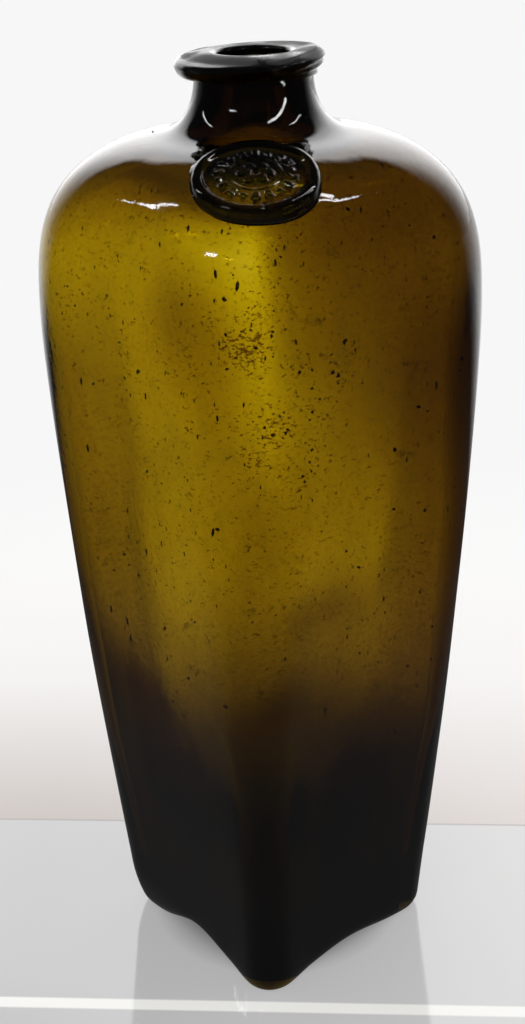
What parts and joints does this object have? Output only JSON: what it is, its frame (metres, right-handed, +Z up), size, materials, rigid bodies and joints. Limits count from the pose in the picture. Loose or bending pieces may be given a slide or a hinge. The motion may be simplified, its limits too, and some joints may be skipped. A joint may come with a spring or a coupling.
{
  "type": "case gin bottle",
  "caption": "Square tapered dark glass spirit bottle with round neck, applied lip and a round stamped glass pad on one shoulder corner.",
  "frame": {"origin": "centre of the foot, on the plane the bottle stands on", "axes": "+Z up along the bottle's axis to the mouth, X and Y square to the flat sides, stamped pad near the corner between +X and -Y"},
  "size_m": [0.0944, 0.0944, 0.245],
  "materials": {
    "body_glass": "dark olive-amber blown glass, fire polished, with seed bubbles and a little dirt inside",
    "lip_glass": "dark olive-amber glass laid on hot, with a tooled fold line",
    "seal_glass": "dark olive-amber glass pad, stamped while hot, with a melted edge"
  },
  "bodies": {
    "root": {"glass_body": "body_glass", "applied_lip": "lip_glass", "shoulder_seal": "seal_glass"}
  },
  "joints": []
}
